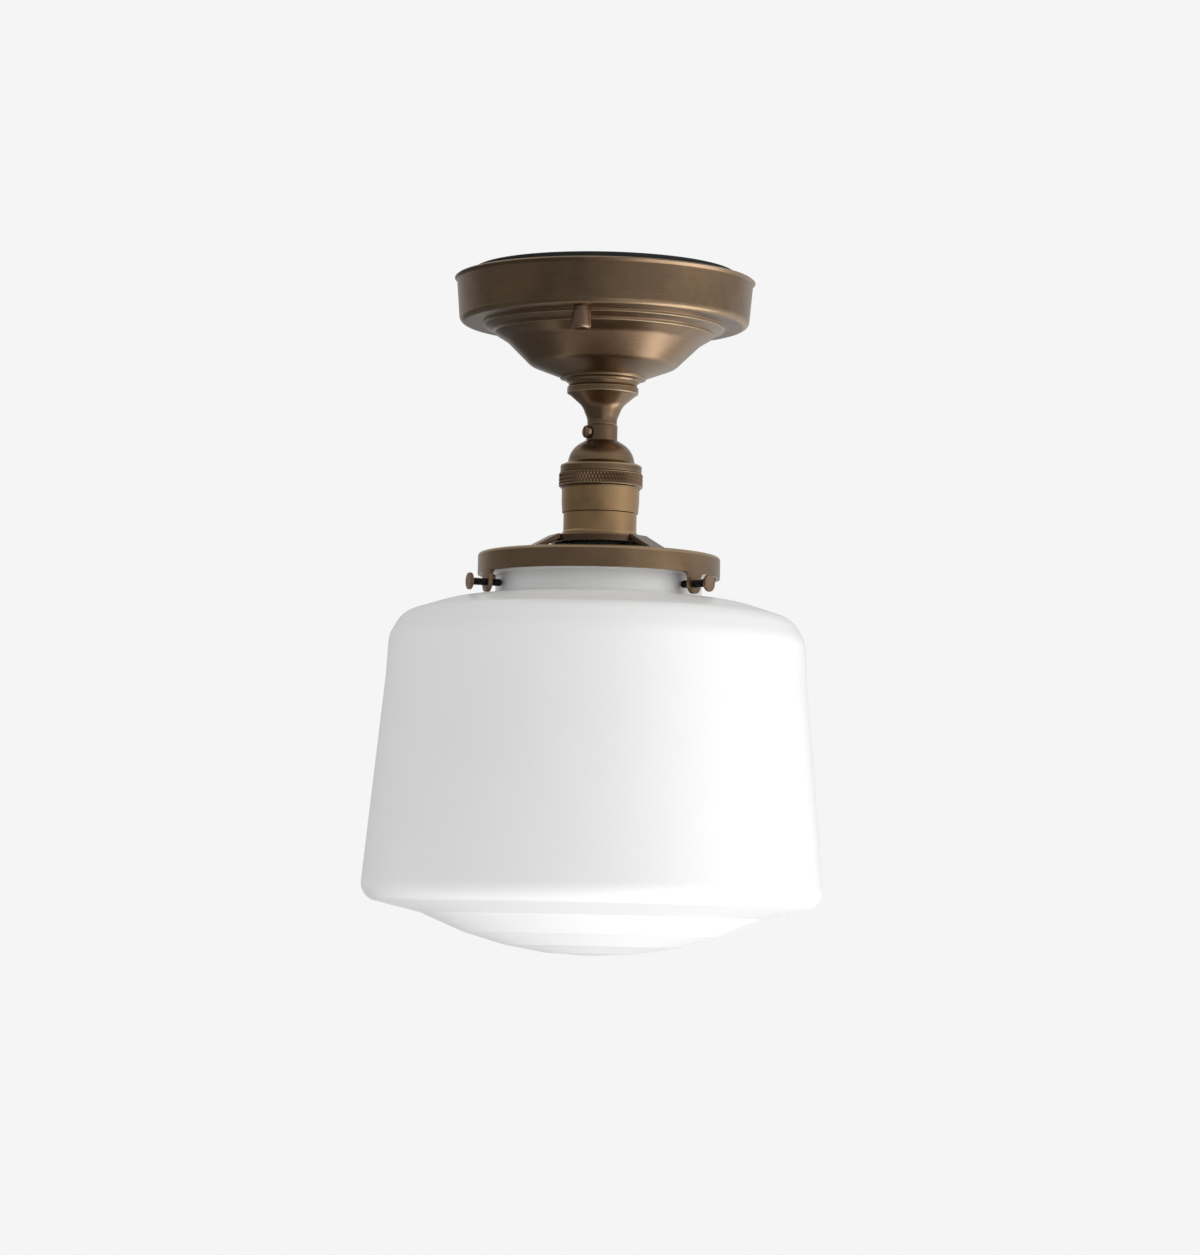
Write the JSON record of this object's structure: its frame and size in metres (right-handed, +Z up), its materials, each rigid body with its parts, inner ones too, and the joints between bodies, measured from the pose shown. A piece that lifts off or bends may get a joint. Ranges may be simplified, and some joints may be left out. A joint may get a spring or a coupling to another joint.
{
  "type": "flush mount ceiling light",
  "caption": "Ceiling light with a stepped round canopy, a turned neck and lamp socket, and a tapered opal glass shade held in an open three-arm holder by thumbscrews.",
  "frame": {"origin": "centre of the ceiling plane, where the gasket meets the ceiling", "axes": "+Z up into the ceiling, the light hangs to -Z; the two canopy studs stand on the Y axis"},
  "size_m": [0.2084, 0.2084, 0.311],
  "materials": {
    "aged_brass": "antique brass, brushed, with a mottled brown patina",
    "bright_brass": "brass with light wear",
    "black_rubber": "matt",
    "zinc_steel": "zinc plated",
    "green_steel": "green dyed screw",
    "black_steel": "black oxide",
    "opal_glass": "white opal glass, satin sheen",
    "porcelain": "glazed white",
    "fibre": "vulcanised fibre",
    "black_plastic": "moulded, matt",
    "orange_plastic": "moulded",
    "black_lead": "insulated lead",
    "white_lead": "insulated lead",
    "green_lead": "insulated lead",
    "bulb_metal": "satin",
    "black_glass": "black insulator",
    "bulb_glass": "clear",
    "tungsten": "wire"
  },
  "bodies": {
    "fixture": {"canopy": "aged_brass", "canopy_stud_1": "zinc_steel", "canopy_stud_2": "zinc_steel", "ceiling_gasket": "black_rubber", "centre_contact": "bright_brass", "crossbar": "zinc_steel", "ground_lead": "green_lead", "ground_ring": "zinc_steel", "ground_screw": "green_steel", "hot_lead": "black_lead", "hot_terminal": "bright_brass", "insulating_sleeve": "fibre", "lock_washer": "zinc_steel", "neck_coupling": "aged_brass", "neutral_lead": "white_lead", "neutral_terminal": "zinc_steel", "nipple": "zinc_steel", "nipple_locknut": "zinc_steel", "screw_shell": "bright_brass", "shade_holder": "aged_brass", "shade_ring_nut": "black_plastic", "socket_body": "porcelain", "socket_cap": "aged_brass", "socket_collar": "aged_brass", "socket_shell": "aged_brass", "stud_locknut_1": "zinc_steel", "stud_locknut_2": "zinc_steel", "wire_connector_1": "orange_plastic", "wire_connector_2": "orange_plastic"},
    "canopy_nut_near": {"canopy_nut_1": "aged_brass"},
    "canopy_nut_far": {"canopy_nut_2": "aged_brass"},
    "collar_screw": {"set_screw": "bright_brass"},
    "shade": {"glass_shade": "opal_glass"},
    "bulb": {"bulb_contact": "bulb_metal", "bulb_insulator": "black_glass", "bulb_base": "bulb_metal", "bulb_glass": "bulb_glass", "bulb_stem": "bulb_glass", "bulb_filament": "tungsten"},
    "thumb_1_shank": {"thumb_shank_1": "black_steel"},
    "thumb_1_head": {"thumb_head_1": "bright_brass"},
    "thumb_2_shank": {"thumb_shank_2": "black_steel"},
    "thumb_2_head": {"thumb_head_2": "bright_brass"},
    "thumb_3_shank": {"thumb_shank_3": "black_steel"},
    "thumb_3_head": {"thumb_head_3": "bright_brass"}
  },
  "joints": [
    {"name": "canopy_nut_near_unscrew", "type": "slide", "parent": "fixture", "child": "canopy_nut_near", "axis": [0, 0, -1], "range_m": [0, 0.009]},
    {"name": "canopy_nut_far_unscrew", "type": "slide", "parent": "fixture", "child": "canopy_nut_far", "axis": [0, 0, -1], "range_m": [0, 0.009]},
    {"name": "collar_screw_back_out", "type": "slide", "parent": "fixture", "child": "collar_screw", "axis": [-0.7431, -0.6691, 0], "range_m": [0, 0.0015]},
    {"name": "thumbscrew_1_travel", "type": "slide", "parent": "fixture", "child": "thumb_1_shank", "axis": [-0.0349, 0.9994, 0], "range_m": [0, 0.00476]},
    {"name": "thumbscrew_1_turn", "type": "hinge", "parent": "thumb_1_shank", "child": "thumb_1_head", "pos_m": [-0.00216, 0.06196, -0.14455], "axis": [-0.0349, 0.9994, 0], "range_deg": [0, 2160.5]},
    {"name": "thumbscrew_2_travel", "type": "slide", "parent": "fixture", "child": "thumb_2_shank", "axis": [-0.848, -0.5299, 0], "range_m": [0, 0.00476]},
    {"name": "thumbscrew_2_turn", "type": "hinge", "parent": "thumb_2_shank", "child": "thumb_2_head", "pos_m": [-0.05258, -0.03286, -0.14455], "axis": [-0.848, -0.5299, 0], "range_deg": [0, 2160.5]},
    {"name": "thumbscrew_3_travel", "type": "slide", "parent": "fixture", "child": "thumb_3_shank", "axis": [0.8829, -0.4695, 0], "range_m": [0, 0.00476]},
    {"name": "thumbscrew_3_turn", "type": "hinge", "parent": "thumb_3_shank", "child": "thumb_3_head", "pos_m": [0.05474, -0.02911, -0.14455], "axis": [0.8829, -0.4695, 0], "range_deg": [0, 2160.5]},
    {"name": "shade_turn", "type": "hinge", "parent": "fixture", "child": "shade", "pos_m": [0, 0, -0.2], "axis": [0, 0, 1], "continuous": true},
    {"name": "bulb_unscrew", "type": "slide", "parent": "fixture", "child": "bulb", "axis": [0, 0, -1], "range_m": [0, 0.024]}
  ],
  "couplings": [
    {"joint": "thumbscrew_1_turn", "follows": "thumbscrew_1_travel", "rad_per_m": 7915.8},
    {"joint": "thumbscrew_2_turn", "follows": "thumbscrew_2_travel", "rad_per_m": 7915.8},
    {"joint": "thumbscrew_3_turn", "follows": "thumbscrew_3_travel", "rad_per_m": 7915.8}
  ]
}
